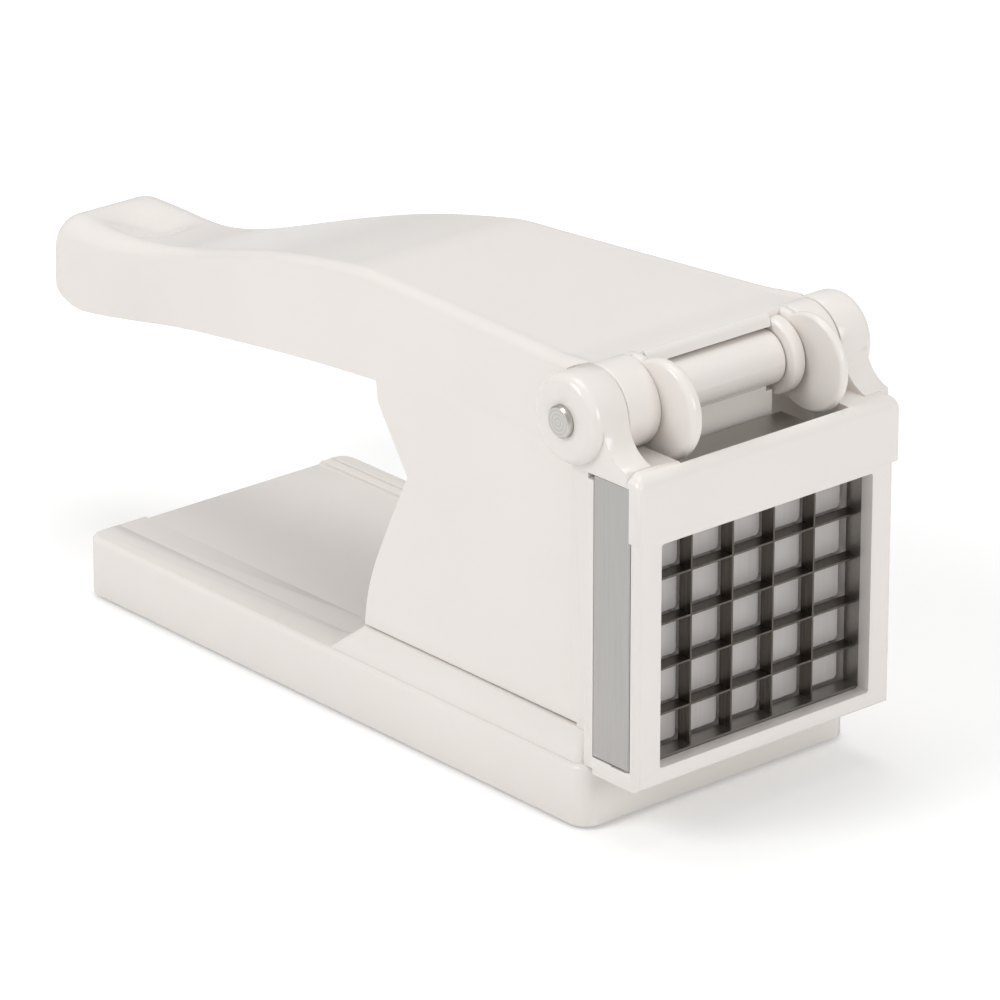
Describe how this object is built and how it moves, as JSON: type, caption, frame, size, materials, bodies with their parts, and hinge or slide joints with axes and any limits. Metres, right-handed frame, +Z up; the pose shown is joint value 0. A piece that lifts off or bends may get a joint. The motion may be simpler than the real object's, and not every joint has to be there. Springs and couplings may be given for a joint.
{
  "type": "french fry cutter",
  "caption": "Tabletop lever press with a hinged hollow handle, a toothed pusher and a square blade grid in a front frame, on a tray-shaped base",
  "frame": {"origin": "on the rest plane under the feet, midway along the overall length, on the plane of symmetry", "axes": "+X to the grid end, +Z up, +Y to the left of someone facing +X; the grid cassette slides out along -Y"},
  "size_m": [0.2616, 0.0928, 0.1166],
  "materials": {
    "white_abs": "moulded ABS, warm off-white, glossy",
    "inner_abs": "moulded ABS, warm off-white, fine matt",
    "foot_rubber": "black moulded rubber",
    "brushed_sheet": "stainless sheet, brushed lengthwise",
    "blade_steel": "stainless strip, ground edges",
    "pin_steel": "turned stainless steel",
    "screw_steel": "zinc-plated steel"
  },
  "bodies": {
    "base": {"base_shell": "white_abs", "base_bottom_plate": "inner_abs", "bottom_plate_screws": "screw_steel", "rubber_feet": "foot_rubber", "grid_frame": "white_abs", "grid_frame_screws": "screw_steel", "hinge_pin": "pin_steel", "pin_retaining_washer": "pin_steel", "cassette_detent_spring": "brushed_sheet"},
    "lever": {"lever_shell": "white_abs", "handle_underside_cover": "white_abs", "handle_cover_screws": "screw_steel", "pusher_block": "white_abs", "pusher_tooth_plate": "white_abs", "tooth_plate_screws": "screw_steel", "pusher_arm_screws": "screw_steel"},
    "cassette": {"cassette_frame": "brushed_sheet", "cassette_side_plate": "brushed_sheet", "blade_vertical_1": "blade_steel", "blade_vertical_2": "blade_steel", "blade_vertical_3": "blade_steel", "blade_vertical_4": "blade_steel", "blade_horizontal_1": "blade_steel", "blade_horizontal_2": "blade_steel", "blade_horizontal_3": "blade_steel", "blade_horizontal_4": "blade_steel"}
  },
  "joints": [
    {"name": "lever_hinge", "type": "hinge", "parent": "base", "child": "lever", "pos_m": [0.1073, 0, 0.1042], "axis": [0, 1, 0], "range_deg": [0, 90]},
    {"name": "cassette_slide", "type": "slide", "parent": "base", "child": "cassette", "axis": [0, -1, 0], "range_m": [0, 0.082]}
  ]
}
